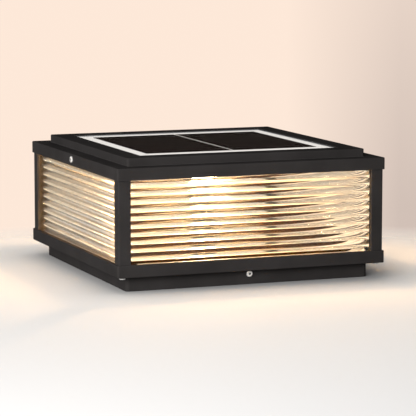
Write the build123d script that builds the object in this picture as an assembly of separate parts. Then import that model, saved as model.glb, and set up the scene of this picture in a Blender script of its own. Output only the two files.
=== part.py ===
from build123d import *
import math
import os

# Overall form, in millimetres
body_width = 250.0  # cap rim and base tray, flush with each other
plinth_height = 13.5
tray_height = 11.0
window_height = 72.5
rim_height = 10.5
tier_height = 7.0
plinth_inset = 11.5  # tray face to plinth face
tier_inset = 14.0  # rim face to tier face
solar_margin = 18.0  # tier face to solar panel edge

# Metalwork
cap_sheet = 1.2
cap_clearance = 0.3  # between the cap's skirt and the frame inside it
cap_corner_radius = 1.8
edge_radius = 0.8
tray_floor = 1.5
plinth_sheet = 1.5
plinth_corner_radius = 3.5
plinth_inner_radius = 2.0
lug_length = 20.0
lug_width = 24.0
lug_pitch = 80.0
lug_screw_inset = 14.0  # plinth wall to screw axis
plinth_screw_length = 4.5
rail_sheet = 1.5
rail_height = 6.5
rail_lip = 2.0

# Corner posts
post_leg = 11.0
post_wall = 2.0
post_corner_radius = 1.0
post_fit = 0.1  # post foot in its tray pocket
port_inset = 4.5  # post face to the axis of its screw port
port_radius = 2.9
post_screw_length = 14.0

# Ribbed panels with their seals and retainers
pane_base = 2.2
rib_height = 1.8
rib_count = 11
rib_low_edge = 4.75  # flat edge of the pane below its ribs
rib_high_edge = 2.1  # flat edge above them
seal_wall = 0.8
seal_depth = 1.6
corner_gap = 0.3  # between two seals that meet at a corner
retainer_sheet = 1.2
retainer_height = 8.5
retainer_foot = 10.0
retainer_gap = 0.3
retainer_screw_inset = 5.7
retainer_screw_pitch = 140.0
retainer_screw_length = 5.0

# M3 button-head screws and their clamp plates
screw_radius = 1.5
thread_fit = 0.05
screw_clearance = 0.2
head_radius = 2.85
head_height = 1.65
head_round = 0.9
socket_radius = 1.15
socket_depth = 1.0
screw_tip = 0.5
clamp_thickness = 2.0
clamp_height = 4.4
clamp_length = 12.0
clamp_gap = 0.2
cap_screw_drop = 4.7  # rim top to screw axis
base_screw_drop = 4.2  # plinth top to screw axis

# Mounting plate
plate_sheet = 2.0
mount_clearance = 0.4
plate_corner_radius = 3.0
bolt_radius = 3.5
bolt_pitch = 150.0
tab_width = 30.0
tab_gap = 1.5  # tab top to tray floor

# Lampholder
holder_radius = 11.0
holder_height = 26.0
holder_base = 9.8
holder_gap = 1.2  # above the mounting plate
holder_clearance = 0.3
ear_length = 10.0
ear_width = 10.0
ear_thickness = 1.8
ear_screw_reach = 6.0
holder_screw_length = 5.0
sleeve_wall = 0.7
sleeve_height = 15.0
sleeve_fit = 0.05
contact_radius = 4.0
contact_sheet = 0.5
contact_button_radius = 2.0
contact_button_height = 1.0

# Bulb
bulb_clearance = 0.3
base_radius = 7.0
base_height = 14.0
tip_radius = 2.6
tip_height = 1.2
insulator_height = 2.0
insulator_low_radius = 3.0
insulator_high_radius = 6.4
neck_radius = 6.2
neck_depth = 5.5  # glass neck inside the metal base
neck_fit = 0.1
neck_rise = 0.6  # straight neck above the metal base
flare_height = 7.0
bulb_radius = 10.0
bulb_straight = 39.0
bulb_wall = 0.7
stem_fit = 0.05
stem_disc = 1.5
stem_radius = 2.0
stem_height = 15.0
rod_radius = 0.9
rod_tip = 0.8  # rod above the upper support
filament_count = 4
filament_circle = 4.2
filament_radius = 0.8
filament_length = 20.0
support_thickness = 0.8
support_clearance = 1.1  # upper support's arms to the glass dome
hub_radius = 1.6

# Solar laminate
solar_clearance = 0.5
cover_thickness = 0.8
backsheet_thickness = 2.0
gasket_thickness = 1.0
gasket_width = 6.0
ledge_width = 7.5
cell_border = (12.5, 18.5)  # beside the cells, and in front of and behind them
cell_thickness = 0.2
ribbon_width = 1.0
ribbon_gap = 0.2

# Cap interior
cap_seal_thickness = 1.0
cap_seal_width = 3.0
reflector_sheet = 1.2
reflector_recess = 1.3  # rim's lower edge to the reflector
reflector_clearance = 1.4
standoff_radius = 3.5
standoff_bore_depth = 9.0
reflector_screw_length = 8.0
battery_size = (45.0, 70.0, 8.5)
battery_radius = 2.0
battery_place = (-45.0, 0.0)
strap_sheet = 0.8
strap_width = 12.0
strap_foot = 9.0
board_size = (45.0, 60.0, 1.6)
board_place = (40.0, -20.0)
spacer_height = 4.0
spacer_radius = 2.6
spacer_inset = 4.0
board_screw_length = 5.0
plug_size = (6.0, 8.0, 3.0)
plug_inset = 2.0
chip_size = (10.0, 10.0, 2.0)
coil_radius = 5.0
coil_height = 3.8
junction_size = (24.0, 14.0, 2.2)
junction_place = (-8.0, -28.0)

# Power button
button_place = (8.0, 55.0)
button_radius = 4.0
button_height = 7.0
button_proud = 1.8
button_clearance = 0.3
button_travel = 1.5
housing_radius = 6.0
housing_height = 8.0
housing_roof = 1.2
housing_fit = 0.1
bezel_radius = 8.0
bezel_thickness = 1.0

# Feed between cap and lampholder
lead_radius = 1.0
lead_bend = 3.0
lead_rest = 0.1  # lead to the rail that it lies on
lead_column_inset = 4.0  # plinth wall to the upright run
contact_place = 44.0
contact_length = 16.0
contact_depth = 5.0
contact_edge = 0.2
contact_gap = 0.3
frame_contact_height = 2.2
pin_radius = 0.8
pin_length = 0.8
pin_pitch = 8.0
grommet_radius = 2.4
grommet_flange = 3.4
grommet_flange_height = 1.0
grommet_fit = 0.05
lead_notch = 2.5  # lead axis to the edge of the reflector's cut corner

# Levels, from the mounting face up
floor_top = plinth_height + tray_floor
tray_top = plinth_height + tray_height
rim_bottom = tray_top + window_height
rim_top = rim_bottom + rim_height
step_under = rim_top - cap_sheet
cap_top = rim_top + tier_height
cap_under = cap_top - cap_sheet
rail_top = step_under - cap_seal_thickness
rail_bottom = rail_top - rail_height
flange_top = rail_bottom + rail_sheet
reflector_bottom = rim_bottom + reflector_recess
reflector_top = reflector_bottom + reflector_sheet
ledge_top = cap_top - cover_thickness - backsheet_thickness - gasket_thickness
ledge_bottom = ledge_top - cap_sheet
backsheet_bottom = ledge_top + gasket_thickness
cell_bottom = backsheet_bottom + backsheet_thickness
cap_screw_level = rim_top - cap_screw_drop
base_screw_level = plinth_height - base_screw_drop
holder_bottom = plate_sheet + holder_gap
socket_bottom = holder_bottom + holder_base
tip_bottom = socket_bottom + contact_sheet + contact_button_height + bulb_clearance
insulator_bottom = tip_bottom + tip_height
base_bottom = insulator_bottom + insulator_height
base_top = base_bottom + base_height
flare_bottom = base_top + neck_rise
flare_top = flare_bottom + flare_height
dome_bottom = flare_top + bulb_straight
support_reach = filament_circle + filament_radius
support_top = dome_bottom + ((bulb_radius - bulb_wall) ** 2 - (support_reach + support_clearance) ** 2) ** 0.5
filament_top = support_top - support_thickness
filament_bottom = filament_top - filament_length
board_bottom = reflector_top + spacer_height
board_top = board_bottom + board_size[2]
plug_level = board_top + plug_size[2] / 2

# Half widths, from the outside in
body_half = body_width / 2
skirt_inner = body_half - cap_sheet
frame_half = skirt_inner - cap_clearance
leg_inner = frame_half - post_wall
pane_outer = leg_inner - seal_wall
pane_inner = pane_outer - rib_height - pane_base
seal_inner = pane_inner - seal_wall
seal_end = seal_inner - corner_gap
pane_end = seal_end - seal_wall
retainer_inner = seal_inner - retainer_sheet
rail_opening = seal_inner - rail_sheet
reflector_half = rail_opening - reflector_clearance
port_axis = frame_half - port_inset
plinth_half = body_half - plinth_inset
plinth_inner = plinth_half - plinth_sheet
plate_half = plinth_inner - mount_clearance
tier_half = body_half - tier_inset
solar_half = tier_half - solar_margin
pocket_half = solar_half + solar_clearance
ledge_inner = pocket_half - ledge_width
cell_half = (solar_half - cell_border[0], solar_half - cell_border[1])
standoff_axis = (pocket_half + tier_half) / 2
lead_column = plinth_inner - lead_column_inset
contact_inner = rail_opening + contact_edge
contact_mid = contact_inner + contact_depth / 2

# Bores
tapped_radius = screw_radius + thread_fit
through_radius = screw_radius + screw_clearance

# Turns about the lamp's axis, from the front side and from the back right corner
right_angle = math.degrees(math.pi / 2)
sides = {name: i * right_angle for i, name in enumerate(("front", "right", "back", "left"))}
corner_names = ("back_right", "back_left", "front_left", "front_right")
corners = {name: i * right_angle for i, name in enumerate(corner_names)}


def block(x0, x1, y0, y1, z0, z1):
    return Pos((x0 + x1) / 2, (y0 + y1) / 2, (z0 + z1) / 2) * Box(x1 - x0, y1 - y0, z1 - z0)


def slab(size, place, bottom):
    return Pos(place[0], place[1], bottom + size[2] / 2) * Box(*size)


def square(half, z0, z1, radius=0.0):
    outline = RectangleRounded(2 * half, 2 * half, radius) if radius else Rectangle(2 * half, 2 * half)
    return Pos(0, 0, z0) * extrude(outline, z1 - z0)


def disc(radius, z0, z1, x=0.0, y=0.0):
    return Pos(x, y, (z0 + z1) / 2) * Cylinder(radius, z1 - z0)


def quarter_turns(x, y):
    return [Rot(0, 0, turn) * Pos(x, y, 0) for turn in corners.values()]


def mirrored(x, y):
    return [(sx * x, sy * y) for sx in (-1, 1) for sy in (-1, 1)]


def group(shapes):
    return Compound([solid for shape in shapes for solid in shape.solids()])


def screw(length):
    # Head above the origin, shank along -Z
    head = disc(head_radius, 0, head_height)
    head = fillet(head.faces().sort_by(Axis.Z)[-1].edges(), head_round)
    drive = Pos(0, 0, head_height - socket_depth) * extrude(RegularPolygon(socket_radius, 6), socket_depth)
    return head + disc(screw_radius, -length, 0) - drive


def lead(points, bends):
    path = FilletPolyline(*points, radius=bends) if len(points) > 2 else Line(*points)
    section = Plane(origin=path @ 0, z_dir=path % 0) * Circle(lead_radius)
    return sweep(section, path=path)


def clamp_pair(face, walls, level, turn):
    # Two screws in opposite faces, each with a tapped plate behind the wall that it clamps
    grip = walls + clamp_gap + clamp_thickness
    one = Pos(0, -face, level) * Rot(90, 0, 0) * screw(grip + screw_tip)
    bar_back = face - walls - clamp_gap
    bar = block(-clamp_length / 2, clamp_length / 2, -bar_back, clamp_thickness - bar_back,
                level - clamp_height / 2, level + clamp_height / 2)
    bar -= Pos(0, -face, level) * Rot(90, 0, 0) * Cylinder(tapped_radius, 4 * grip)
    turns = [Rot(0, 0, turn), Rot(0, 0, turn + 2 * right_angle)]
    return group([t * one for t in turns]), group([t * bar for t in turns])


def open_slot(face, depth, level, top):
    # Slot for a clamp screw's shank, open at the top of its wall
    shank = Pos(0, -face + depth / 2, level) * Rot(90, 0, 0) * Cylinder(through_radius, depth)
    return shank + block(-through_radius, through_radius, -face, -face + depth, level, top)


def mounting_plate():
    plate = square(plate_half, 0, plate_sheet, plate_corner_radius)
    for x, y in mirrored(bolt_pitch / 2, bolt_pitch / 2):
        plate -= disc(bolt_radius, 0, plate_sheet, x, y)
    tab_top = plinth_height - tab_gap
    tab = block(-tab_width / 2, tab_width / 2, -plate_half, -plate_half + plate_sheet, plate_sheet, tab_top)
    tab -= open_slot(plate_half, plate_sheet, base_screw_level, tab_top)
    return plate + tab + Rot(0, 0, 180) * tab


def plinth_screw_places():
    return mirrored(plinth_inner - lug_screw_inset, lug_pitch / 2)


def plinth_skirt():
    skirt = square(plinth_half, 0, plinth_height, plinth_corner_radius)
    skirt -= square(plinth_inner, 0, plinth_height, plinth_inner_radius)
    lug_bottom = plinth_height - plinth_sheet
    for side in (-1, 1):
        for y in (-lug_pitch / 2, lug_pitch / 2):
            edge, tip = side * plinth_inner, side * (plinth_inner - lug_length)
            skirt += block(min(edge, tip), max(edge, tip), y - lug_width / 2, y + lug_width / 2,
                           lug_bottom, plinth_height)
    for x, y in plinth_screw_places():
        skirt -= disc(through_radius, lug_bottom, plinth_height, x, y)
    return skirt - Pos(0, 0, base_screw_level) * Rot(90, 0, 0) * Cylinder(through_radius, 2 * body_width)


def retainer_screw_places():
    row = retainer_inner - retainer_screw_inset
    return [Rot(0, 0, turn) * Pos(x, -row, 0) for turn in sides.values()
            for x in (-retainer_screw_pitch / 2, retainer_screw_pitch / 2)]


def holder_screw_places():
    reach = holder_radius + ear_screw_reach
    return [(-reach, 0), (reach, 0)]


def base_tray():
    tray = square(body_half, plinth_height, tray_top, cap_corner_radius)
    rims = tray.faces().sort_by(Axis.Z)
    tray = fillet(rims[0].edges() + rims[-1].edges(), edge_radius)
    tray -= square(leg_inner, floor_top, tray_top)
    pocket_start = frame_half - post_leg - post_fit
    pocket = block(pocket_start, frame_half, pocket_start, frame_half, floor_top, tray_top)
    for turn in corners.values():
        tray -= Rot(0, 0, turn) * pocket
    hole = disc(tapped_radius, plinth_height, floor_top)
    for place in quarter_turns(port_axis, port_axis):
        tray -= place * disc(through_radius, plinth_height, floor_top)
    for place in retainer_screw_places():
        tray -= place * hole
    for x, y in plinth_screw_places() + holder_screw_places():
        tray -= Pos(x, y, 0) * hole
    tray -= disc(grommet_radius + grommet_fit, plinth_height, floor_top, lead_column, lead_column)
    return tray - disc(holder_radius + holder_clearance, plinth_height, floor_top)


def corner_post():
    start = frame_half - post_leg
    post = block(start, frame_half, start, frame_half, floor_top, rail_bottom)
    outer_edge = post.edges().filter_by(Axis.Z).sort_by(lambda edge: edge.center().X + edge.center().Y)[-1]
    post = fillet(outer_edge, post_corner_radius)
    post -= block(start, leg_inner, start, leg_inner, floor_top, rail_bottom)
    post += disc(port_radius, floor_top, rail_bottom, port_axis, port_axis)
    return post - disc(tapped_radius, floor_top, rail_bottom, port_axis, port_axis)


def ribbed_panel():
    bottom, top = floor_top + seal_wall, rail_bottom - seal_wall
    first, last = bottom + rib_low_edge, top - rib_high_edge
    pitch = (last - first) / rib_count
    valley = -pane_outer + rib_height
    edges = [Polyline((valley, last), (-pane_outer, last), (-pane_outer, top), (-pane_inner, top),
                      (-pane_inner, bottom), (-pane_outer, bottom), (-pane_outer, first), (valley, first))]
    for i in range(rib_count):
        low = first + i * pitch
        edges.append(ThreePointArc((valley, low), (-pane_outer, low + pitch / 2), (valley, low + pitch)))
    return extrude(Plane.YZ * make_face(edges), pane_end, both=True)


def panel_seal():
    seal = block(-seal_end, seal_end, -leg_inner, -seal_inner, floor_top, rail_bottom)
    bottom, top = floor_top + seal_wall, rail_bottom - seal_wall
    seal -= block(-pane_end, pane_end, -pane_outer, -pane_inner, bottom, top)
    view = pane_end - seal_depth
    return seal - block(-view, view, -leg_inner, -seal_inner, bottom + seal_depth, top - seal_depth)


def panel_retainers():
    toe = retainer_inner - retainer_foot
    half = toe - retainer_gap
    strip = block(-half, half, -seal_inner, -retainer_inner, floor_top, floor_top + retainer_height)
    foot = block(-half, half, -retainer_inner, -toe, floor_top, floor_top + retainer_sheet)
    row = retainer_inner - retainer_screw_inset
    for x in (-retainer_screw_pitch / 2, retainer_screw_pitch / 2):
        foot -= disc(through_radius, floor_top, floor_top + retainer_sheet, x, -row)
    return group([Rot(0, 0, turn) * (strip + foot) for turn in sides.values()])


def top_rail():
    rail = square(frame_half, rail_bottom, rail_top)
    rail -= square(frame_half - rail_sheet, flange_top, rail_top)
    rail += square(seal_inner, rail_bottom - rail_lip, rail_bottom)
    rail -= square(rail_opening, rail_bottom - rail_lip, rail_top)
    for place in quarter_turns(port_axis, port_axis):
        rail -= place * disc(through_radius, rail_bottom, flange_top)
    for turn in (sides["right"], sides["left"]):
        rail -= Rot(0, 0, turn) * open_slot(frame_half, rail_sheet, cap_screw_level, rail_top)
    return rail


def lampholder():
    body = disc(holder_radius, holder_bottom, holder_bottom + holder_height)
    reach = holder_radius + ear_length
    ears = block(-reach, reach, -ear_width / 2, ear_width / 2, floor_top, floor_top + ear_thickness)
    for x, y in holder_screw_places():
        ears -= disc(through_radius, floor_top, floor_top + ear_thickness, x, y)
    collar = holder_radius + holder_clearance + ear_thickness
    body += disc(collar, floor_top, floor_top + ear_thickness) + ears
    bore = base_radius + bulb_clearance + sleeve_wall + sleeve_fit
    return body - disc(bore, socket_bottom, holder_bottom + holder_height)


def socket_sleeve():
    inner = base_radius + bulb_clearance
    top = socket_bottom + sleeve_height
    return disc(inner + sleeve_wall, socket_bottom, top) - disc(inner, socket_bottom, top)


def socket_contact():
    leaf_top = socket_bottom + contact_sheet
    leaf = disc(contact_radius, socket_bottom, leaf_top)
    return leaf + disc(contact_button_radius, leaf_top, leaf_top + contact_button_height)


def bulb_insulator():
    middle = insulator_bottom + insulator_height / 2
    return Pos(0, 0, middle) * Cone(insulator_low_radius, insulator_high_radius, insulator_height)


def bulb_base():
    base = disc(base_radius, base_bottom, base_top)
    return base - disc(neck_radius + neck_fit, base_top - neck_depth, base_top)


def bulb_form(shrink, bottom):
    # Neck, flare, straight side and dome of the bulb, drawn in by the given amount
    neck, side = neck_radius - shrink, bulb_radius - shrink
    mid_radius, mid_level = (neck + side) / 2, (flare_bottom + flare_top) / 2
    out_arc = TangentArc((neck, flare_bottom), (mid_radius, mid_level), tangent=(0, 1))
    in_arc = TangentArc((mid_radius, mid_level), (side, flare_top), tangent=out_arc % 1)
    dome = RadiusArc((side, dome_bottom), (0, dome_bottom + side), -side)
    edges = [Line((0, bottom), (neck, bottom)), Line((neck, bottom), (neck, flare_bottom)), out_arc, in_arc,
             Line((side, flare_top), (side, dome_bottom)), dome, Line((0, dome_bottom + side), (0, bottom))]
    return revolve(Plane.XZ * make_face(edges), Axis.Z)


def bulb_glass():
    bottom = base_top - neck_depth
    return bulb_form(0, bottom) - bulb_form(bulb_wall, bottom)


def bulb_stem():
    bottom = base_top - neck_depth
    plug = disc(neck_radius - bulb_wall - stem_fit, bottom, bottom + stem_disc)
    shoulder = bottom + stem_disc + stem_height
    return plug + disc(stem_radius, bottom, shoulder) + disc(rod_radius, shoulder, support_top + rod_tip)


def filament_support(bottom):
    hub = disc(hub_radius, bottom, bottom + support_thickness)
    half = support_thickness / 2
    for i in range(filament_count):
        arm = block(0, support_reach, -half, half, bottom, bottom + support_thickness)
        hub += Rot(0, 0, i * 360 / filament_count) * arm
    return hub - disc(rod_radius + stem_fit, bottom, bottom + support_thickness)


def filament_supports():
    return group([filament_support(filament_bottom - support_thickness), filament_support(filament_top)])


def bulb_filaments():
    stick = disc(filament_radius, filament_bottom, filament_top, filament_circle)
    return group([Rot(0, 0, i * 360 / filament_count) * stick for i in range(filament_count)])


def cap_shell():
    rim = square(body_half, rim_bottom, rim_top, cap_corner_radius)
    rim = fillet(rim.faces().sort_by(Axis.Z)[-1].edges(), edge_radius)
    tier = square(tier_half, step_under, cap_top, cap_corner_radius)
    tier = fillet(tier.faces().sort_by(Axis.Z)[-1].edges(), edge_radius)
    shell = rim + tier
    shell -= square(skirt_inner, rim_bottom, step_under)
    shell -= square(tier_half - cap_sheet, step_under, cap_under)
    shell += square(pocket_half + cap_sheet, ledge_bottom, cap_under)
    shell -= square(pocket_half, ledge_top, cap_top)
    shell -= square(ledge_inner, ledge_bottom, ledge_top)
    for place in quarter_turns(standoff_axis, standoff_axis):
        shell += place * disc(standoff_radius, reflector_top, cap_under)
        shell -= place * disc(tapped_radius, reflector_top, reflector_top + standoff_bore_depth)
    return shell - Pos(0, 0, cap_screw_level) * Rot(0, 90, 0) * Cylinder(through_radius, 2 * body_width)


def cap_seal():
    ring = square(frame_half, rail_top, step_under)
    return ring - square(frame_half - cap_seal_width, rail_top, step_under)


def solar_gasket():
    ring = square(solar_half, ledge_top, backsheet_bottom)
    return ring - square(solar_half - gasket_width, ledge_top, backsheet_bottom)


def solar_strip(x0, x1):
    return block(x0, x1, -cell_half[1], cell_half[1], cell_bottom, cell_bottom + cell_thickness)


def solar_ribbon():
    return solar_strip(-ribbon_width / 2, ribbon_width / 2)


def solar_cells():
    edge = ribbon_width / 2 + ribbon_gap
    return group([solar_strip(-cell_half[0], -edge), solar_strip(edge, cell_half[0])])


def solar_cover():
    # The clear layer is recessed round the cells and the ribbon that it seals
    cover = square(solar_half, cell_bottom, cap_top)
    return cover - solar_ribbon() - solar_cells().solids()[0] - solar_cells().solids()[1]


def board_screw_places():
    dx = board_size[0] / 2 - spacer_inset
    dy = board_size[1] / 2 - spacer_inset
    return [(board_place[0] + x, board_place[1] + y) for x, y in mirrored(dx, dy)]


def strap_screw_places():
    reach = battery_size[0] / 2 + strap_sheet + strap_foot / 2
    return [(battery_place[0] - reach, battery_place[1]), (battery_place[0] + reach, battery_place[1])]


def reflector_plate():
    plate = square(reflector_half, reflector_bottom, reflector_top)
    for place in quarter_turns(standoff_axis, standoff_axis):
        plate -= place * disc(through_radius, reflector_bottom, reflector_top)
    for x, y in strap_screw_places():
        plate -= disc(tapped_radius, reflector_bottom, reflector_top, x, y)
    plate -= disc(housing_radius + housing_fit, reflector_bottom, reflector_top, *button_place)
    cut = lead_column - lead_notch
    return plate - block(cut, reflector_half, cut, reflector_half, reflector_bottom, reflector_top)


def battery_pack():
    pack = slab(battery_size, battery_place, reflector_top)
    return fillet(pack.edges().filter_by(Axis.Y), battery_radius)


def battery_strap():
    width, height = battery_size[0] + 2 * strap_sheet, battery_size[2] + strap_sheet
    strap = slab((width, strap_width, height), battery_place, reflector_top)
    strap -= slab((battery_size[0], strap_width, battery_size[2]), battery_place, reflector_top)
    for foot_x, foot_y in strap_screw_places():
        foot = slab((strap_foot, strap_width, strap_sheet), (foot_x, foot_y), reflector_top)
        strap += foot - disc(through_radius, reflector_top, reflector_top + strap_sheet, foot_x, foot_y)
    return strap


def controller_board():
    board = slab(board_size, board_place, board_bottom)
    for x, y in board_screw_places():
        board -= disc(through_radius, board_bottom, board_top, x, y)
    return board


def board_spacers():
    spacer = disc(spacer_radius, reflector_top, board_bottom)
    spacer -= disc(tapped_radius, reflector_top, board_bottom)
    return group([Pos(x, y, 0) * spacer for x, y in board_screw_places()])


def plug_places():
    # Battery and panel plugs on the left edge, lamp plug on the back edge
    left = board_place[0] - board_size[0] / 2 + plug_inset + plug_size[0] / 2
    back = board_place[1] + board_size[1] / 2 - plug_inset - plug_size[1] / 2
    return [(left, board_place[1] + plug_size[1]), (left, junction_place[1]), (contact_place, back)]


def board_components():
    x, y = board_place
    parts = [slab(plug_size, place, board_top) for place in plug_places()]
    parts.append(slab(chip_size, (x, y - chip_size[1]), board_top))
    parts.append(disc(coil_radius, board_top, board_top + coil_height, x, y + 2 * coil_radius))
    return group(parts)


def bay_screws():
    strap_screw = Pos(0, 0, reflector_top + strap_sheet) * screw(strap_sheet + reflector_sheet)
    board_screw = Pos(0, 0, board_top) * screw(board_screw_length)
    straps = [Pos(x, y, 0) * strap_screw for x, y in strap_screw_places()]
    return group(straps + [Pos(x, y, 0) * board_screw for x, y in board_screw_places()])


def solar_junction():
    return slab(junction_size, junction_place, backsheet_bottom - junction_size[2])


def cap_leads():
    plugs = plug_places()
    half_plug = plug_size[0] / 2
    battery = lead([(battery_place[0] + battery_size[0] / 2, plugs[0][1], plug_level),
                    (plugs[0][0] - half_plug, plugs[0][1], plug_level)], 0)
    x, y = junction_place[0] + junction_size[0] / 2, junction_place[1]
    level = backsheet_bottom - junction_size[2] / 2
    end = plugs[1][0] - half_plug
    span = (end - x) / 3
    panel = lead([(x, y, level), (x + span, y, level), (end - span, y, plug_level), (end, y, plug_level)],
                 lead_bend)
    start = plugs[2][1] + plug_size[1] / 2
    low = (step_under + flange_top + frame_contact_height + pin_length + contact_gap) / 2
    run = (contact_inner - start) / 3
    lamp = lead([(contact_place, start, plug_level), (contact_place, start + 2 * run, plug_level),
                 (contact_place, contact_inner - run / 2, low), (contact_place, contact_inner, low)],
                lead_bend)
    return group([battery, panel, lamp])


def button_housing():
    x, y = button_place
    top = reflector_bottom + housing_height
    bezel_bottom = reflector_bottom - bezel_thickness
    body = disc(housing_radius, bezel_bottom, top, x, y)
    body += disc(bezel_radius, bezel_bottom, reflector_bottom, x, y)
    return body - disc(button_radius + button_clearance, bezel_bottom, top - housing_roof, x, y)


def power_button():
    bottom = reflector_bottom - bezel_thickness - button_proud
    top = reflector_bottom + housing_height - housing_roof - button_travel - button_clearance
    stem = disc(button_radius, bottom, min(top, bottom + button_height), *button_place)
    return fillet(stem.faces().sort_by(Axis.Z)[0].edges(), edge_radius)


def contact_block(bottom, top):
    return block(contact_place - contact_length / 2, contact_place + contact_length / 2,
                 contact_inner, contact_inner + contact_depth, bottom, top)


def frame_contact_block():
    return contact_block(flange_top, flange_top + frame_contact_height)


def cap_contact_block():
    pin_bottom = flange_top + frame_contact_height + contact_gap
    body = contact_block(pin_bottom + pin_length, step_under)
    for x in (contact_place - pin_pitch / 2, contact_place + pin_pitch / 2):
        body += disc(pin_radius, pin_bottom, pin_bottom + pin_length, x, contact_mid)
    return body


def lamp_lead():
    # From the frame contact along the rail, down the back right corner and under the floor to the holder
    along = flange_top + lead_radius + lead_rest
    under = plinth_height - lead_bend
    end = holder_radius / 2 ** 0.5
    return lead([(contact_place + contact_length / 2, contact_mid, along), (lead_column, contact_mid, along),
                 (lead_column, lead_column, along), (lead_column, lead_column, under), (end, end, under)],
                lead_bend)


def floor_grommet():
    ring = disc(grommet_radius, plinth_height, floor_top)
    ring += disc(grommet_flange, floor_top, floor_top + grommet_flange_height)
    ring -= disc(lead_radius + grommet_fit, plinth_height, floor_top + grommet_flange_height)
    return Pos(lead_column, lead_column, 0) * ring


def tray_screws():
    one = Pos(0, 0, plinth_height) * Rot(180, 0, 0) * screw(post_screw_length)
    return group([place * one for place in quarter_turns(port_axis, port_axis)])


def rail_screws():
    one = Pos(0, 0, flange_top) * screw(post_screw_length)
    return group([place * one for place in quarter_turns(port_axis, port_axis)])


def retainer_screws():
    one = Pos(0, 0, floor_top + retainer_sheet) * screw(retainer_screw_length)
    return group([place * one for place in retainer_screw_places()])


def plinth_screws():
    one = Pos(0, 0, plinth_height - plinth_sheet) * Rot(180, 0, 0) * screw(plinth_screw_length)
    return group([Pos(x, y, 0) * one for x, y in plinth_screw_places()])


def holder_screws():
    one = Pos(0, 0, floor_top + ear_thickness) * screw(holder_screw_length)
    return group([Pos(x, y, 0) * one for x, y in holder_screw_places()])


def reflector_screws():
    one = Pos(0, 0, reflector_bottom) * Rot(180, 0, 0) * screw(reflector_screw_length)
    return group([place * one for place in quarter_turns(standoff_axis, standoff_axis)])


nodes = {
    "mounting_plate": mounting_plate(),
    "plinth_skirt": plinth_skirt(),
    "base_tray": base_tray(),
    "top_rail": top_rail(),
    "lampholder": lampholder(),
    "socket_sleeve": socket_sleeve(),
    "socket_contact": socket_contact(),
    "bulb_base": bulb_base(),
    "bulb_insulator": bulb_insulator(),
    "bulb_contact": disc(tip_radius, tip_bottom, insulator_bottom),
    "bulb_glass": bulb_glass(),
    "bulb_stem": bulb_stem(),
    "filament_supports": filament_supports(),
    "bulb_filaments": bulb_filaments(),
    "cap_shell": cap_shell(),
    "cap_seal": cap_seal(),
    "solar_gasket": solar_gasket(),
    "solar_backsheet": square(solar_half, backsheet_bottom, cell_bottom),
    "solar_cells": solar_cells(),
    "solar_ribbon": solar_ribbon(),
    "solar_cover": solar_cover(),
    "reflector_plate": reflector_plate(),
    "battery_pack": battery_pack(),
    "battery_strap": battery_strap(),
    "controller_board": controller_board(),
    "board_spacers": board_spacers(),
    "board_components": board_components(),
    "bay_screws": bay_screws(),
    "solar_junction": solar_junction(),
    "cap_leads": cap_leads(),
    "button_housing": button_housing(),
    "power_button": power_button(),
    "frame_contact_block": frame_contact_block(),
    "cap_contact_block": cap_contact_block(),
    "lamp_lead": lamp_lead(),
    "floor_grommet": floor_grommet(),
    "tray_screws": tray_screws(),
    "rail_screws": rail_screws(),
    "retainer_screws": retainer_screws(),
    "plinth_screws": plinth_screws(),
    "holder_screws": holder_screws(),
    "reflector_screws": reflector_screws(),
    "panel_retainers": panel_retainers(),
}
for name, turn in sides.items():
    nodes[f"ribbed_panel_{name}"] = Rot(0, 0, turn) * ribbed_panel()
    nodes[f"panel_seal_{name}"] = Rot(0, 0, turn) * panel_seal()
for name, turn in corners.items():
    nodes[f"post_{name}"] = Rot(0, 0, turn) * corner_post()
nodes["cap_screws"], nodes["cap_clamp_plates"] = clamp_pair(
    body_half, cap_sheet + cap_clearance + rail_sheet, cap_screw_level, sides["right"])
nodes["base_screws"], nodes["base_clamp_plates"] = clamp_pair(
    plinth_half, plinth_sheet + mount_clearance + plate_sheet, base_screw_level, sides["front"])

os.makedirs("parts", exist_ok=True)
for name, shape in nodes.items():
    export_step(shape, f"parts/{name}.step")
print(len(nodes), "nodes, overall height", cap_top)
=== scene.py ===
import math

import bmesh
import bpy
from mathutils import Matrix, Vector


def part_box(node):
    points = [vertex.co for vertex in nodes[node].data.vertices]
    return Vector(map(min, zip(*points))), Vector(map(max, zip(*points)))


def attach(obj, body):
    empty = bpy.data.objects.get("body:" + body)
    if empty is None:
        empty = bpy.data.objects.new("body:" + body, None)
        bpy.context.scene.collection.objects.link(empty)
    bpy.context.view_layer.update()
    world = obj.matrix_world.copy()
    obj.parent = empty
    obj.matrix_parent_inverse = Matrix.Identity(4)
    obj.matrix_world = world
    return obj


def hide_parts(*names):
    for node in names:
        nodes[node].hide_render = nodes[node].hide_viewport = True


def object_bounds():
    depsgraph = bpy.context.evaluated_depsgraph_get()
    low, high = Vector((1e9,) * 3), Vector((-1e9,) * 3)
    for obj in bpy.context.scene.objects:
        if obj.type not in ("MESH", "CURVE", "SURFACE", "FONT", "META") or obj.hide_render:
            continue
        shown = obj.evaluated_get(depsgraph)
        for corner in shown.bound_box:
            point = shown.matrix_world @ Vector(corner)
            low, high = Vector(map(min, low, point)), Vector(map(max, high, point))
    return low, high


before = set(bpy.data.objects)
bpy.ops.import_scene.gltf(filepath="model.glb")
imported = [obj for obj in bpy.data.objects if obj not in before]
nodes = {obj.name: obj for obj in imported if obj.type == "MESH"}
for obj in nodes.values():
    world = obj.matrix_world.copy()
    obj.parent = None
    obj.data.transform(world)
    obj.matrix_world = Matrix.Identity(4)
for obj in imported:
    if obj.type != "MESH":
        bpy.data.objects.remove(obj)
cadLow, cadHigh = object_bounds()
scene = bpy.context.scene
mm = 0.001
noiseSpan = (0.3, 0.7)  # the part of a noise that its values really fill
print("frame loaded,", len(nodes), "nodes")


# Small helpers for node trees

def addNode(tree, kind, **values):
    node = tree.nodes.new(kind)
    for name, value in values.items():
        setattr(node, name, value)
    return node


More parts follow.
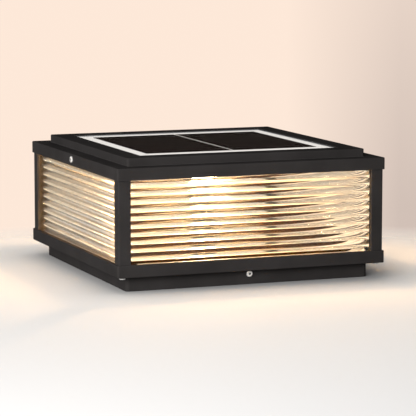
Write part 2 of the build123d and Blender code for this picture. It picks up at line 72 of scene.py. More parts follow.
def feed(tree, target, socket, source):
    # A number or colour is set on the socket, anything else is linked to it
    if isinstance(source, bpy.types.NodeSocket):
        tree.links.new(source, target.inputs[socket])
    else:
        target.inputs[socket].default_value = source


def mathNode(tree, operation, a, b=0.0, clamp=False):
    node = addNode(tree, "ShaderNodeMath", operation=operation, use_clamp=clamp)
    feed(tree, node, 0, a)
    feed(tree, node, 1, b)
    return node.outputs[0]


def rangeNode(tree, value, low, high, toLow=0.0, toHigh=1.0):
    node = addNode(tree, "ShaderNodeMapRange")
    feed(tree, node, "Value", value)
    feed(tree, node, "From Min", low)
    feed(tree, node, "From Max", high)
    feed(tree, node, "To Min", toLow)
    feed(tree, node, "To Max", toHigh)
    return node.outputs[0]


def mixColour(tree, factor, a, b):
    node = addNode(tree, "ShaderNodeMix", data_type="RGBA")
    feed(tree, node, 0, factor)
    feed(tree, node, 6, a)
    feed(tree, node, 7, b)
    return node.outputs[2]


def noiseNode(tree, scale, detail, vector):
    node = addNode(tree, "ShaderNodeTexNoise")
    feed(tree, node, "Vector", vector)
    feed(tree, node, "Scale", scale)
    feed(tree, node, "Detail", detail)
    return node.outputs["Fac"]


def objectPoint(tree):
    return addNode(tree, "ShaderNodeTexCoord").outputs["Object"]


def startGroup(name, inputs, outputs):
    group = bpy.data.node_groups.new(name, "ShaderNodeTree")
    for label, value in inputs:
        socket = group.interface.new_socket(label, in_out="INPUT", socket_type="NodeSocketFloat")
        socket.default_value = value
    for label, kind in outputs:
        group.interface.new_socket(label, in_out="OUTPUT", socket_type=kind)
    return group, addNode(group, "NodeGroupInput").outputs, addNode(group, "NodeGroupOutput")


def placeGroup(tree, group, **values):
    node = addNode(tree, "ShaderNodeGroup", node_tree=group)
    for name, value in values.items():
        node.inputs[name].default_value = value
    return node.outputs


# Fine grain and slow clouding of a coated or moulded surface
def buildGrainGroup():
    group, given, out = startGroup(
        "surfaceGrain", [("Grain", 2400.0), ("Cloud", 30.0)],
        [("Grain", "NodeSocketFloat"), ("Cloud", "NodeSocketFloat")])
    point = objectPoint(group)
    feed(group, out, "Grain", noiseNode(group, given["Grain"], 3.0, point))
    feed(group, out, "Cloud", noiseNode(group, given["Cloud"], 5.0, point))
    return group


# Rounded normal along edges, and a mask of the edge itself, where coats get a painted highlight
def buildEdgeGroup():
    group, given, out = startGroup(
        "softEdge", [("Radius", 0.0006)], [("Normal", "NodeSocketVector"), ("Edge", "NodeSocketFloat")])
    bevel = addNode(group, "ShaderNodeBevel", samples=6)
    feed(group, bevel, "Radius", given["Radius"])
    dot = addNode(group, "ShaderNodeVectorMath", operation="DOT_PRODUCT")
    feed(group, dot, 0, bevel.outputs[0])
    feed(group, dot, 1, addNode(group, "ShaderNodeNewGeometry").outputs["True Normal"])
    feed(group, out, "Normal", bevel.outputs[0])
    feed(group, out, "Edge", rangeNode(group, dot.outputs["Value"], 0.98, 0.8))
    return group


# Long fine scratches of rolled or turned metal
def buildBrushGroup():
    group, given, out = startGroup(
        "brushLines", [("Along", 60.0), ("Across", 5000.0)], [("Brush", "NodeSocketFloat")])
    scale = addNode(group, "ShaderNodeCombineXYZ")
    feed(group, scale, 0, given["Along"])
    feed(group, scale, 1, given["Across"])
    feed(group, scale, 2, given["Across"])
    stretch = addNode(group, "ShaderNodeVectorMath", operation="MULTIPLY")
    feed(group, stretch, 0, objectPoint(group))
    feed(group, stretch, 1, scale.outputs[0])
    feed(group, out, "Brush", noiseNode(group, 1.0, 4.0, stretch.outputs[0]))
    return group


# Painted shade: dark in recesses and corners, white in the open
def buildRecessShadeGroup():
    group, given, out = startGroup("recessShade", [("Reach", 0.002)], [("Open", "NodeSocketFloat")])
    hollow = addNode(group, "ShaderNodeAmbientOcclusion", samples=8)
    feed(group, hollow, "Distance", given["Reach"])
    feed(group, out, "Open", rangeNode(group, hollow.outputs["AO"], 0.35, 0.95))
    return group


# 1 inside a box about the object's axis, 0 outside it
def buildInsideGroup():
    group, given, out = startGroup(
        "insideBox", [("Half", 0.116), ("Bottom", 0.014), ("Top", 0.2)], [("Inside", "NodeSocketFloat")])
    split = addNode(group, "ShaderNodeSeparateXYZ")
    feed(group, split, 0, objectPoint(group))
    reach = mathNode(group, "MAXIMUM", mathNode(group, "ABSOLUTE", split.outputs["X"]),
                     mathNode(group, "ABSOLUTE", split.outputs["Y"]))
    above = mathNode(group, "GREATER_THAN", split.outputs["Z"], given["Bottom"])
    below = mathNode(group, "LESS_THAN", split.outputs["Z"], given["Top"])
    within = mathNode(group, "LESS_THAN", reach, given["Half"])
    level = mathNode(group, "MULTIPLY", above, below)
    feed(group, out, "Inside", mathNode(group, "MULTIPLY", within, level))
    return group


grainGroup = buildGrainGroup()
edgeGroup = buildEdgeGroup()
brushGroup = buildBrushGroup()
recessShadeGroup = buildRecessShadeGroup()
insideGroup = buildInsideGroup()


def startMaterial(name):
    material = bpy.data.materials.new(name)
    material.use_nodes = True
    shader = material.node_tree.nodes["Principled BSDF"]
    return material, material.node_tree, shader


def bumpNormal(tree, height, strength, distance, normal=None):
    node = addNode(tree, "ShaderNodeBump")
    feed(tree, node, "Height", height)
    feed(tree, node, "Strength", strength)
    feed(tree, node, "Distance", distance)
    if normal is not None:
        feed(tree, node, "Normal", normal)
    return node.outputs["Normal"]


# A coated, painted or moulded finish: two close tones, grain in the relief, and a lighter colour along
# edges that is a painted highlight over a rounded bevel normal
def coatFinish(name, dark, light, edge, rough, specular=0.4, grain=2400.0, cloud=30.0, relief=0.25,
               radius=0.0006):
    material, tree, shader = startMaterial(name)
    surface = placeGroup(tree, grainGroup, Grain=grain, Cloud=cloud)
    rim = placeGroup(tree, edgeGroup, Radius=radius)
    tone = mixColour(tree, rangeNode(tree, surface["Cloud"], *noiseSpan), (*dark, 1), (*light, 1))
    # the edge colour is a painted highlight along the edges
    feed(tree, shader, "Base Color", mixColour(tree, rim["Edge"], tone, (*edge, 1)))
    gloss = rangeNode(tree, surface["Grain"], *noiseSpan, rough - 0.06, rough + 0.06)
    feed(tree, shader, "Roughness", gloss)
    feed(tree, shader, "Specular IOR Level", specular)
    feed(tree, shader, "Normal", bumpNormal(tree, surface["Grain"], relief, 0.00012, rim["Normal"]))
    return material


# A bare or plated metal with fine lines in its gloss, and painted shade darkening it in recesses
def metalFinish(name, dark, light, rough, metal=1.0, along=60.0, across=5000.0, radius=0.0003,
                hollow=0.0025):
    material, tree, shader = startMaterial(name)
    lines = placeGroup(tree, brushGroup, Along=along, Across=across)
    rim = placeGroup(tree, edgeGroup, Radius=radius)
    tone = mixColour(tree, lines["Brush"], (*dark, 1), (*light, 1))
    recessShade = placeGroup(tree, recessShadeGroup, Reach=hollow)["Open"]
    # painted shade: the metal turns near black in recesses
    feed(tree, shader, "Base Color", mixColour(tree, recessShade, (0.01, 0.01, 0.01, 1), tone))
    feed(tree, shader, "Metallic", metal)
    gloss = rangeNode(tree, lines["Brush"], *noiseSpan, rough - 0.08, rough + 0.08)
    feed(tree, shader, "Roughness", gloss)
    feed(tree, shader, "Normal", bumpNormal(tree, lines["Brush"], 0.08, 0.00005, rim["Normal"]))
    return material


# "edge" is the colour of the painted highlight along the coat's edges
coatTone = {"dark": (0.019, 0.0175, 0.017), "light": (0.025, 0.023, 0.0225), "edge": (0.05, 0.047, 0.046),
            "rough": 0.62, "specular": 0.0}
# Painted light inside the tray: "lit" is a pale pool of lamp light painted round the lampholder, "far" a
# pale sheen painted where the floor is seen at a low angle
trayPaintedLight = {"edge": (0.010, 0.0040, 0.0006, 1), "lit": (0.105, 0.102, 0.090, 1), "litFrom": 58.0 * mm,
              "litTo": 44.0 * mm, "far": (0.120, 0.112, 0.095, 1), "farFrom": 0.77, "farTo": 0.83}
blackCoat = coatFinish("blackCoat", **coatTone)
trayCoatPaintedLight = coatFinish("trayCoatPaintedLight", **coatTone)


def paintTrayLight():
    # Inside the window the coat has a painted pool of lamp light round the lampholder and a painted sheen
    # at low view angles, and is a darker brown than the outside coat elsewhere
    tree = trayCoatPaintedLight.node_tree
    shader = tree.nodes["Principled BSDF"]
    outside = shader.inputs["Base Color"].links[0].from_socket
    flat = addNode(tree, "ShaderNodeVectorMath", operation="MULTIPLY")
    feed(tree, flat, 0, objectPoint(tree))
    feed(tree, flat, 1, (1, 1, 0))
    reach = addNode(tree, "ShaderNodeVectorMath", operation="LENGTH")
    feed(tree, reach, 0, flat.outputs[0])
    # painted pool of lamp light: pale near the lampholder, darker brown further out
    lit = rangeNode(tree, reach.outputs["Value"], trayPaintedLight["litFrom"], trayPaintedLight["litTo"])
    tone = mixColour(tree, lit, trayPaintedLight["edge"], trayPaintedLight["lit"])
    # painted sheen: pale where the tray floor is seen at a low angle
    facing = addNode(tree, "ShaderNodeLayerWeight").outputs["Facing"]
    sheen = rangeNode(tree, facing, trayPaintedLight["farFrom"], trayPaintedLight["farTo"])
    tone = mixColour(tree, sheen, tone, trayPaintedLight["far"])
    inside = placeGroup(tree, insideGroup)["Inside"]
    feed(tree, shader, "Base Color", mixColour(tree, inside, outside, tone))


paintTrayLight()
whiteCoat = coatFinish("whiteCoat", (0.80, 0.79, 0.76), (0.86, 0.85, 0.82), (0.9, 0.9, 0.88), 0.45)
buttonWhite = coatFinish("buttonWhite", (0.70, 0.70, 0.69), (0.76, 0.76, 0.75), (0.84, 0.84, 0.83), 0.35,
                         grain=1500.0, relief=0.12)
blackPlastic = coatFinish("blackPlastic", (0.012, 0.012, 0.013), (0.018, 0.018, 0.019), (0.03, 0.03, 0.03),
                          0.42, grain=1300.0, relief=0.35)
blackRubber = coatFinish("blackRubber", (0.008, 0.008, 0.008), (0.014, 0.014, 0.014), (0.02, 0.02, 0.02),
                         0.72, specular=0.25, grain=1800.0)
leadSheath = coatFinish("leadSheath", (0.015, 0.014, 0.014), (0.026, 0.024, 0.023), (0.04, 0.04, 0.04),
                        0.38, grain=900.0, cloud=120.0, relief=0.1)
batteryWrap = coatFinish("batteryWrap", (0.012, 0.075, 0.26), (0.02, 0.10, 0.33), (0.09, 0.20, 0.45), 0.28,
                         specular=0.5, grain=500.0, cloud=60.0, relief=0.1, radius=0.001)
darkGlass = coatFinish("darkGlass", (0.010, 0.009, 0.014), (0.020, 0.018, 0.026), (0.05, 0.05, 0.06), 0.12,
                       specular=0.5, grain=700.0, cloud=300.0, relief=0.05)
zincPlate = metalFinish("zincPlate", (0.52, 0.53, 0.55), (0.68, 0.69, 0.71), 0.35, metal=0.6)
stainless = metalFinish("stainless", (0.72, 0.71, 0.69), (0.86, 0.85, 0.83), 0.24, metal=0.5)
tinRibbon = coatFinish("tinRibbon", (0.78, 0.78, 0.78), (0.88, 0.88, 0.88), (0.92, 0.92, 0.92), 0.10,
                       specular=0.8, grain=900.0, relief=0.1, radius=0.0001)
feed(tinRibbon.node_tree, tinRibbon.node_tree.nodes["Principled BSDF"], "Metallic", 0.9)
brass = metalFinish("brass", (0.62, 0.42, 0.14), (0.78, 0.55, 0.22), 0.3)
nickel = metalFinish("nickel", (0.60, 0.57, 0.52), (0.72, 0.69, 0.63), 0.25)
board = {"mask": (0.008, 0.085, 0.030, 1), "track": (0.020, 0.155, 0.060, 1), "grid": 210.0, "line": 0.24}


def boardFinish():
    # Solder mask with raised tracks that turn at right angles
    material, tree, shader = startMaterial("boardGreen")
    cells = addNode(tree, "ShaderNodeTexVoronoi", distance="CHEBYCHEV", feature="F1")
    feed(tree, cells, "Vector", objectPoint(tree))
    feed(tree, cells, "Scale", board["grid"])
    ring = mathNode(tree, "FRACT", mathNode(tree, "MULTIPLY", cells.outputs["Distance"], 3.0))
    track = mathNode(tree, "LESS_THAN", ring, board["line"])
    grain = placeGroup(tree, grainGroup, Grain=1600.0, Cloud=80.0)
    feed(tree, shader, "Base Color", mixColour(tree, track, board["mask"], board["track"]))
    feed(tree, shader, "Roughness", rangeNode(tree, grain["Grain"], *noiseSpan, 0.22, 0.34))
    feed(tree, shader, "Normal", bumpNormal(tree, track, 0.3, 0.00004))
    return material


boardGreen = boardFinish()
print("finishes made")


# Ribbed clear panes
paneGlass = {"colour": (1.0, 0.982, 0.93, 1), "index": 1.49, "rough": 0.08}


def glassFinish(name, settings):
    material, tree, shader = startMaterial(name)
    feed(tree, shader, "Base Color", settings["colour"])
    feed(tree, shader, "Roughness", settings["rough"])
    feed(tree, shader, "IOR", settings["index"])
    feed(tree, shader, "Transmission Weight", 1.0)
    return material


ribbedGlass = glassFinish("ribbedGlass", paneGlass)
paneEdge = coatFinish("paneEdge", (0.030, 0.020, 0.012), (0.045, 0.032, 0.020), (0.05, 0.036, 0.024), 0.8,
                      specular=0.05, grain=1500.0)


def finishPiece(mesh, name, material, body, stands, sharp=35.0):
    bmesh.ops.remove_doubles(mesh, verts=mesh.verts, dist=1e-7)
    bmesh.ops.recalc_face_normals(mesh, faces=mesh.faces)
    for face in mesh.faces:
        face.smooth = True
    limit = math.radians(sharp)
    for edge in mesh.edges:
        edge.smooth = len(edge.link_faces) == 2 and edge.calc_face_angle(0.0) < limit
    data = bpy.data.meshes.new(name)
    mesh.to_mesh(data)
    mesh.free()
    data.materials.append(material)
    piece = bpy.data.objects.new(name, data)
    scene.collection.objects.link(piece)
    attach(piece, body)
    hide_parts(*stands)
    return piece


# Ribs of the size that the CAD panes have
ribs = {"count": 11, "pitch": 6.85 * mm, "first": 20.55 * mm, "height": 1.8 * mm, "steps": 20}
sideTurns = {"front": 0.0, "right": 90.0, "back": 180.0, "left": 270.0}


def ribbedPane(side, turn):
    low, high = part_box("ribbed_panel_front")
    valley = low.y + ribs["height"]
    half = ribs["pitch"] / 2
    radius = (half ** 2 + ribs["height"] ** 2) / (2 * ribs["height"])
    sweep = 2 * math.asin(half / radius)
    mesh = bmesh.new()
    for i in range(ribs["count"]):
        start = ribs["first"] + i * ribs["pitch"]
        foot = mesh.verts.new((low.x, valley, start))
        bmesh.ops.spin(mesh, geom=[foot], cent=(low.x, low.y + radius, start + half), axis=(1, 0, 0),
                       angle=-sweep, steps=ribs["steps"])
    bmesh.ops.remove_doubles(mesh, verts=mesh.verts, dist=1e-6)
    chain = sorted(mesh.verts, key=lambda vert: vert.co.z)
    for tip, edge in ((chain[0], low.z), (chain[-1], high.z)):
        shoulder = mesh.verts.new((low.x, low.y, tip.co.z))
        mesh.edges.new((tip, shoulder))
        mesh.edges.new((shoulder, mesh.verts.new((low.x, low.y, edge))))
    wide = bmesh.ops.extrude_edge_only(mesh, edges=mesh.edges[:])["geom"]
    bmesh.ops.translate(mesh, verts=[v for v in wide if isinstance(v, bmesh.types.BMVert)],
                        vec=(high.x - low.x, 0, 0))
    deep = bmesh.ops.extrude_face_region(mesh, geom=mesh.faces[:])["geom"]
    back = [v for v in deep if isinstance(v, bmesh.types.BMVert)]
    bmesh.ops.scale(mesh, verts=back, vec=(1, 0, 1), space=Matrix.Translation((0, -high.y, 0)))
    spun = Matrix.Rotation(math.radians(turn), 3, "Z")
    bmesh.ops.rotate(mesh, verts=mesh.verts, cent=(0, 0, 0), matrix=spun)
    pane = finishPiece(mesh, "pane" + side.capitalize(), ribbedGlass, "lantern",
                       ["ribbed_panel_" + side])
    pane.visible_shadow = False
    pane.data.materials.append(paneEdge)  # for the sawn ends, bedded in the seals
    along = spun @ Vector((1, 0, 0))
    for face in pane.data.polygons:
        face.material_index = int(abs(face.normal.dot(along)) > 0.9)
    return pane


for side, turn in sideTurns.items():
    ribbedPane(side, turn)
print("ribbed panes made")


# Lit bulb
bulbLight = {"filament": (1.0, 0.54, 0.20, 1), "bead": (1.0, 0.58, 0.24, 1), "strength": 3900.0,
             "neck": (0.004, 0.003, 0.002, 1), "glow": (1.0, 0.84, 0.58, 1), "glassGlow": 20.0,
             "glowFrom": 54.0 * mm, "glowTo": 66.0 * mm}


def filamentFinish():
    material, tree, shader = startMaterial("filamentGlow")
    beads = noiseNode(tree, 900.0, 2.0, objectPoint(tree))
    feed(tree, shader, "Base Color", (0.9, 0.7, 0.3, 1))
    feed(tree, shader, "Emission Color", mixColour(tree, beads, bulbLight["filament"], bulbLight["bead"]))
    feed(tree, shader, "Emission Strength", bulbLight["strength"])
    return material


filamentGlow = filamentFinish()
bulbGlass = glassFinish("bulbGlass", {"colour": (1.0, 0.97, 0.9, 1), "index": 1.45, "rough": 0.0})


def lightGlass():
    # Painted glow: the glass itself gives off light round its filaments and is nearly dark at its neck
    tree = bulbGlass.node_tree
    shader = tree.nodes["Principled BSDF"]
    point = addNode(tree, "ShaderNodeSeparateXYZ")
    feed(tree, point, 0, objectPoint(tree))
    share = rangeNode(tree, point.outputs["Z"], bulbLight["glowFrom"], bulbLight["glowTo"])
    feed(tree, shader, "Emission Color", mixColour(tree, share, bulbLight["neck"], bulbLight["glow"]))
    feed(tree, shader, "Emission Strength", bulbLight["glassGlow"])


lightGlass()
stemGlass = glassFinish("stemGlass", {"colour": (1.0, 0.985, 0.96, 1), "index": 1.5, "rough": 0.02})
envelope = {"neck": 6.2 * mm, "neckRise": 6.1 * mm, "flare": 7.0 * mm, "wall": 0.7 * mm, "arcSteps": 10,
            "around": 72}


def arcFrom(mesh, tip, centre, angle):
    made = bmesh.ops.spin(mesh, geom=[tip], cent=centre, axis=(0, 1, 0), angle=angle,
                          steps=envelope["arcSteps"])
    return made["geom_last"][0]


def lineFrom(mesh, tip, rise):
    made = bmesh.ops.extrude_vert_indiv(mesh, verts=[tip])["verts"]
    bmesh.ops.translate(mesh, verts=made, vec=(0, 0, rise))
    return made[0]


def bulbEnvelope():
    # Neck, double curve, straight side and dome, turned about the bulb's axis
    low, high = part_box("bulb_glass")
    side = (high.x - low.x) / 2
    neck, flare = envelope["neck"], envelope["flare"]
    out = (side - neck) / 2
    bend = (out ** 2 + (flare / 2) ** 2) / (2 * out)
    sweep = math.asin(flare / 2 / bend)
    foot = low.z + envelope["neckRise"]
    shoulder = high.z - side
    mesh = bmesh.new()
    tip = lineFrom(mesh, mesh.verts.new((neck, 0, low.z)), envelope["neckRise"])
    tip = arcFrom(mesh, tip, (neck + bend, 0, foot), sweep)
    tip = arcFrom(mesh, tip, (side - bend, 0, foot + flare), -sweep)
    tip = lineFrom(mesh, tip, shoulder - foot - flare)
    arcFrom(mesh, tip, (0, 0, shoulder), -math.pi / 2)
    bmesh.ops.spin(mesh, geom=mesh.verts[:] + mesh.edges[:], cent=(0, 0, 0), axis=(0, 0, 1),
                   angle=2 * math.pi, steps=envelope["around"], use_merge=True)
    bmesh.ops.remove_doubles(mesh, verts=mesh.verts, dist=1e-7)
    bmesh.ops.recalc_face_normals(mesh, faces=mesh.faces)
    bmesh.ops.solidify(mesh, geom=mesh.faces[:], thickness=envelope["wall"])
    glass = finishPiece(mesh, "bulbEnvelope", bulbGlass, "bulb", ["bulb_glass"])
    glass.visible_shadow = False


bulbEnvelope()
print("bulb lit")


# Solar laminate
solar = {"dark": (0.0035, 0.0021, 0.0018, 1), "light": (0.010, 0.0060, 0.0050, 1),
         "finger": (0.020, 0.0145, 0.0125, 1), "fingerPitch": 2.3 * mm, "fingerShare": 0.12,
         "bus": (0.085, 0.066, 0.056, 1), "busPitch": 14.9 * mm, "busShare": 0.10,
         "sheetDark": (0.93, 0.94, 0.96, 1), "sheetLight": (0.97, 0.98, 1.0, 1),
         "hatch": (0.62, 0.63, 0.65, 1), "hatchPitch": 5.2 * mm, "hatchShare": 0.4, "sideStrip": 81.0 * mm}


def stripes(tree, value, pitch, share):
    # 1 along narrow lines a pitch apart
    phase = mathNode(tree, "FRACT", mathNode(tree, "DIVIDE", value, pitch))
    return mathNode(tree, "LESS_THAN", phase, share)


def siliconFinish():
    material, tree, shader = startMaterial("siliconCells")
    point = addNode(tree, "ShaderNodeSeparateXYZ")
    feed(tree, point, 0, objectPoint(tree))
    finger = stripes(tree, point.outputs["Y"], solar["fingerPitch"], solar["fingerShare"])
    bus = stripes(tree, point.outputs["Y"], solar["busPitch"], solar["busShare"])
    cloud = placeGroup(tree, grainGroup, Grain=900.0, Cloud=45.0)["Cloud"]
    tone = mixColour(tree, rangeNode(tree, cloud, 0.35, 0.65), solar["dark"], solar["light"])
    tone = mixColour(tree, finger, tone, solar["finger"])
    feed(tree, shader, "Base Color", mixColour(tree, bus, tone, solar["bus"]))
    feed(tree, shader, "Roughness", 0.4)
    feed(tree, shader, "Specular IOR Level", 0.0)
    return material


def backsheetFinish():
    # White sheet with faint hatching beside the cells
    material, tree, shader = startMaterial("whiteBacksheet")
    point = addNode(tree, "ShaderNodeSeparateXYZ")
    feed(tree, point, 0, objectPoint(tree))
    sideways = mathNode(tree, "ABSOLUTE", point.outputs["X"])
    beside = mathNode(tree, "GREATER_THAN", sideways, solar["sideStrip"])
    lines = stripes(tree, point.outputs["Y"], solar["hatchPitch"], solar["hatchShare"])
    hatch = mathNode(tree, "MULTIPLY", beside, lines)
    grain = placeGroup(tree, grainGroup, Grain=1400.0, Cloud=40.0)
    tone = mixColour(tree, grain["Cloud"], solar["sheetDark"], solar["sheetLight"])
    feed(tree, shader, "Base Color", mixColour(tree, hatch, tone, solar["hatch"]))
    feed(tree, shader, "Roughness", rangeNode(tree, grain["Grain"], *noiseSpan, 0.03, 0.07))
    feed(tree, shader, "Specular IOR Level", 0.6)
    return material


def coverFinish():
    # Thin clear film, a little uneven in its gloss
    material, tree, shader = startMaterial("coverFilm")
    grain = placeGroup(tree, grainGroup, Grain=350.0, Cloud=25.0)
    feed(tree, shader, "Base Color", (0.03, 0.03, 0.032, 1))
    feed(tree, shader, "Roughness", rangeNode(tree, grain["Cloud"], *noiseSpan, 0.10, 0.22))
    feed(tree, shader, "Alpha", rangeNode(tree, grain["Grain"], *noiseSpan, 0.004, 0.010))
    return material


siliconCells = siliconFinish()
whiteBacksheet = backsheetFinish()
coverFilm = coverFinish()
cover = {"sheet": 0.4 * mm, "bevel": 0.15 * mm}


def coverSheet():
    # A clear sheet that stands a little above the cells
    low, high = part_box("solar_cover")
    mesh = bmesh.new()
    bmesh.ops.create_cube(mesh, size=1.0)
    bmesh.ops.scale(mesh, verts=mesh.verts, vec=(high.x - low.x, high.y - low.y, cover["sheet"]))
    bmesh.ops.translate(mesh, verts=mesh.verts, vec=(0, 0, high.z - cover["sheet"] / 2))
    rim = [edge for edge in mesh.edges if min(vert.co.z for vert in edge.verts) > high.z - cover["bevel"]]
    bmesh.ops.bevel(mesh, geom=rim, offset=cover["bevel"], segments=2, profile=0.5, affect="EDGES",
                    material=-1)
    sheet = finishPiece(mesh, "coverSheet", coverFilm, "cap", ["solar_cover"])
    sheet.visible_shadow = False


coverSheet()
print("solar finishes made")

# Which finish each CAD node wears
wears = {
    trayCoatPaintedLight: ["base_tray"],
    blackCoat: ["cap_shell", "plinth_skirt", "top_rail", "post_front_left", "post_front_right",
                "post_back_left", "post_back_right"],
    whiteCoat: ["reflector_plate"],
    buttonWhite: ["power_button"],
    darkGlass: ["bulb_insulator"],
    zincPlate: ["panel_retainers", "mounting_plate", "battery_strap", "cap_clamp_plates",
                "base_clamp_plates", "board_spacers"],
    stainless: ["cap_screws", "base_screws", "tray_screws", "rail_screws", "retainer_screws",
                "plinth_screws", "holder_screws", "reflector_screws", "bay_screws"],
    tinRibbon: ["solar_ribbon"],
    blackRubber: ["cap_seal", "solar_gasket", "floor_grommet", "panel_seal_front", "panel_seal_right",
                  "panel_seal_back", "panel_seal_left"],
    leadSheath: ["cap_leads", "lamp_lead"],
    blackPlastic: ["lampholder", "button_housing", "frame_contact_block", "cap_contact_block",
                   "solar_junction", "board_components"],
    batteryWrap: ["battery_pack"],
    boardGreen: ["controller_board"],
    brass: ["socket_sleeve", "socket_contact", "bulb_contact"],
    nickel: ["bulb_base", "filament_supports"],
    filamentGlow: ["bulb_filaments"],
    stemGlass: ["bulb_stem"],
    siliconCells: ["solar_cells"],
    whiteBacksheet: ["solar_backsheet"],
}
for material, names in wears.items():
    for name in names:
        nodes[name].data.materials.clear()
        nodes[name].data.materials.append(material)
print("finishes placed")


# Floor, backdrop, light and camera
view = {"azimuth": -21.15, "elevation": 7.55, "distance": 2061.3 * mm, "target": (5.4 * mm, 0.0, 52.7 * mm),
        "lens": 194.2}
turn, lift = math.radians(view["azimuth"]), math.radians(view["elevation"])
away = Vector((math.sin(turn) * math.cos(lift), -math.cos(turn) * math.cos(lift), math.sin(lift)))
across = Vector((math.cos(turn), math.sin(turn), 0))

stage = {"floor": (1.0, 0.93, 0.85, 1), "wall": (0.985, 0.81, 0.69, 1), "shade": (0.64, 0.53, 0.47, 1),
         "behindLow": (0.50, 0.37, 0.24, 1), "behindHigh": (1.0, 0.96, 0.86, 1),
         "room": (0.09, 0.08, 0.065, 1), "dimFloor": (0.20, 0.16, 0.11, 1),
         "air": (1.0, 0.97, 0.94, 1), "zenith": 0.20, "horizon": 0.55}
# Where the backdrop changes, by the ray's rise and by its share to the right of, or towards, the camera
bands = {"corner": (0.035, 0.085), "cornerRise": (-0.04, -0.13), "cornerShade": (0.55, 1.0),
         "wallFoot": (-0.151, -0.139), "mirrorRise": (-0.06, 0.02), "mirrorNear": (-0.2, 0.3),
         "mirrorLeft": (-0.15, -0.40), "mirrorShare": (0.0, 0.6), "clearRise": (-0.45, -0.10),
         "clearRight": (-0.35, -0.15), "sky": (0.0, 0.9)}
ground = {"radius": 0.70, "ahead": 0.36, "drop": 0.1 * mm, "fadeFrom": 0.50, "fadeTo": 0.64, "glow": 0.44,
          "albedo": (0.32, 0.318, 0.318, 1), "farAlbedo": (0.20, 0.20, 0.20, 1),
          "farFloor": (0.96, 0.95, 0.95, 1), "farFrom": 0.28, "farTo": 0.75,
          "shadowReach": 0.062, "litDepth": 1.8, "darkDepth": 5.4}
lamps = {"frontSoftbox": {"place": (-0.62, -0.88, 0.32), "size": (0.7, 0.4), "power": 15.0},
         "leftSoftbox": {"place": (-2.2, -0.6, 0.6), "size": (1.2, 0.8), "power": 44.0},
         "highSoftbox": {"place": (0.3, 0.2, 1.9), "size": (1.4, 1.4), "power": 3.0}}
lampTarget = Vector((0, 0, 0.06))


def paintWorld():
    # The camera sees the backdrop, glass and gloss see plainer tones, and other rays a soft sky
    world = bpy.data.worlds.new("studio")
    scene.world = world
    world.use_nodes = True
    tree = world.node_tree
    background = tree.nodes["Background"]
    way = addNode(tree, "ShaderNodeTexCoord").outputs["Generated"]
    path = addNode(tree, "ShaderNodeLightPath").outputs
    split = addNode(tree, "ShaderNodeSeparateXYZ")
    feed(tree, split, 0, way)
    sideways = addNode(tree, "ShaderNodeVectorMath", operation="DOT_PRODUCT")
    feed(tree, sideways, 0, way)
    feed(tree, sideways, 1, across)
    nearer = addNode(tree, "ShaderNodeVectorMath", operation="DOT_PRODUCT")
    feed(tree, nearer, 0, way)
    feed(tree, nearer, 1, away)
    right, rise = sideways.outputs["Value"], split.outputs["Z"]
    corner = rangeNode(tree, right, *bands["corner"])
    lower = rangeNode(tree, rise, *bands["cornerRise"], *bands["cornerShade"])
    wall = mixColour(tree, mathNode(tree, "MULTIPLY", corner, lower), stage["wall"], stage["shade"])
    backdrop = mixColour(tree, rangeNode(tree, rise, *bands["wallFoot"]), stage["floor"], wall)
    low = mixColour(tree, rangeNode(tree, rise, *bands["mirrorRise"]), stage["dimFloor"], stage["floor"])
    near = rangeNode(tree, nearer.outputs["Value"], *bands["mirrorNear"])
    left = rangeNode(tree, right, *bands["mirrorLeft"], *bands["mirrorShare"])
    mirrored = mixColour(tree, mathNode(tree, "MAXIMUM", near, left), low, stage["room"])
    straight = mathNode(tree, "MAXIMUM", path["Is Camera Ray"], path["Is Transmission Ray"])
    clear = mathNode(tree, "MULTIPLY", rangeNode(tree, rise, *bands["clearRise"]),
                     rangeNode(tree, right, *bands["clearRight"]))
    beyond = mixColour(tree, clear, stage["behindLow"], stage["behindHigh"])
    through = mixColour(tree, path["Is Transmission Ray"], backdrop, beyond)
    seen = mixColour(tree, straight, mirrored, through)
    anySight = mathNode(tree, "MAXIMUM", straight, path["Is Glossy Ray"])
    ambient = rangeNode(tree, rise, *bands["sky"], stage["horizon"], stage["zenith"])
    feed(tree, background, "Color", mixColour(tree, anySight, stage["air"], seen))
    feed(tree, background, "Strength", mathNode(tree, "MAXIMUM", anySight, ambient))


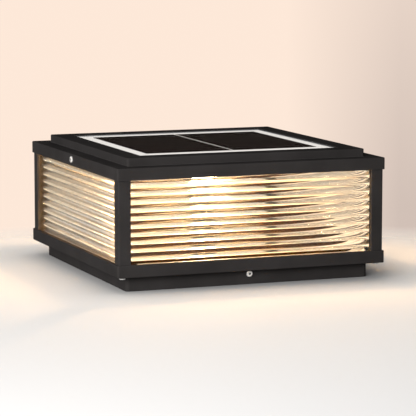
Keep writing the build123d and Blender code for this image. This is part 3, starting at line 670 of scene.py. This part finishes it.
def layFloor():
    mesh = bmesh.new()
    bmesh.ops.create_circle(mesh, cap_ends=True, segments=96, radius=ground["radius"])
    middle = Vector((away.x, away.y, 0)).normalized() * ground["ahead"]
    bmesh.ops.translate(mesh, verts=mesh.verts, vec=middle - Vector((0, 0, ground["drop"])))
    data = bpy.data.meshes.new("floor")
    mesh.to_mesh(data)
    mesh.free()
    material, tree, shader = startMaterial("floorPaper")
    offset = addNode(tree, "ShaderNodeVectorMath", operation="DISTANCE")
    feed(tree, offset, 0, objectPoint(tree))
    feed(tree, offset, 1, middle)
    path = addNode(tree, "ShaderNodeLightPath").outputs
    # The contact shadow deepens away from the lamps
    shaded = addNode(tree, "ShaderNodeAmbientOcclusion", samples=16)
    feed(tree, shaded, "Distance", ground["shadowReach"])
    place = addNode(tree, "ShaderNodeSeparateXYZ")
    feed(tree, place, 0, objectPoint(tree))
    side = rangeNode(tree, place.outputs["X"], cadLow[0], cadHigh[0], ground["litDepth"],
                     ground["darkDepth"])
    depth = mathNode(tree, "POWER", shaded.outputs["AO"], side)
    sight = mathNode(tree, "MAXIMUM", path["Is Camera Ray"], path["Is Transmission Ray"])
    sight = mathNode(tree, "MAXIMUM", sight, path["Is Glossy Ray"])
    lit = mathNode(tree, "MULTIPLY", depth, sight)
    glow = mathNode(tree, "MULTIPLY", lit, ground["glow"])
    apart = addNode(tree, "ShaderNodeVectorMath", operation="LENGTH")
    feed(tree, apart, 0, objectPoint(tree))
    far = rangeNode(tree, apart.outputs["Value"], ground["farFrom"], ground["farTo"])
    feed(tree, shader, "Base Color", mixColour(tree, far, ground["albedo"], ground["farAlbedo"]))
    feed(tree, shader, "Roughness", 0.9)
    feed(tree, shader, "Specular IOR Level", 0.0)
    feed(tree, shader, "Emission Color", mixColour(tree, far, stage["floor"], ground["farFloor"]))
    feed(tree, shader, "Emission Strength", glow)
    fade = rangeNode(tree, offset.outputs["Value"], ground["fadeTo"], ground["fadeFrom"])
    below = addNode(tree, "ShaderNodeNewGeometry").outputs["Backfacing"]
    feed(tree, shader, "Alpha", mathNode(tree, "SUBTRACT", fade, below, clamp=True))
    data.materials.append(material)
    floor = bpy.data.objects.new("floor", data)
    scene.collection.objects.link(floor)


def softLamp(name, place, size, power):
    light = bpy.data.lights.new(name, "AREA")
    light.shape = "RECTANGLE"
    light.size, light.size_y = size
    light.energy = power
    lamp = bpy.data.objects.new(name, light)
    lamp.location = place
    lamp.rotation_euler = (lampTarget - Vector(place)).to_track_quat("-Z", "Y").to_euler()
    lamp.visible_glossy = False
    lamp.visible_transmission = False
    scene.collection.objects.link(lamp)


paintWorld()
layFloor()
for name, lamp in lamps.items():
    softLamp(name, **lamp)

cameraData = bpy.data.cameras.new("camera")
cameraData.lens = view["lens"]
cameraData.sensor_width = 36.0
cameraData.clip_start, cameraData.clip_end = 0.05, 50.0
camera = bpy.data.objects.new("camera", cameraData)
camera.location = Vector(view["target"]) + away * view["distance"]
camera.rotation_euler = (-away).to_track_quat("-Z", "Y").to_euler()
scene.collection.objects.link(camera)
scene.camera = camera
scene.view_settings.view_transform = "Standard"
print("stage, light and camera set")
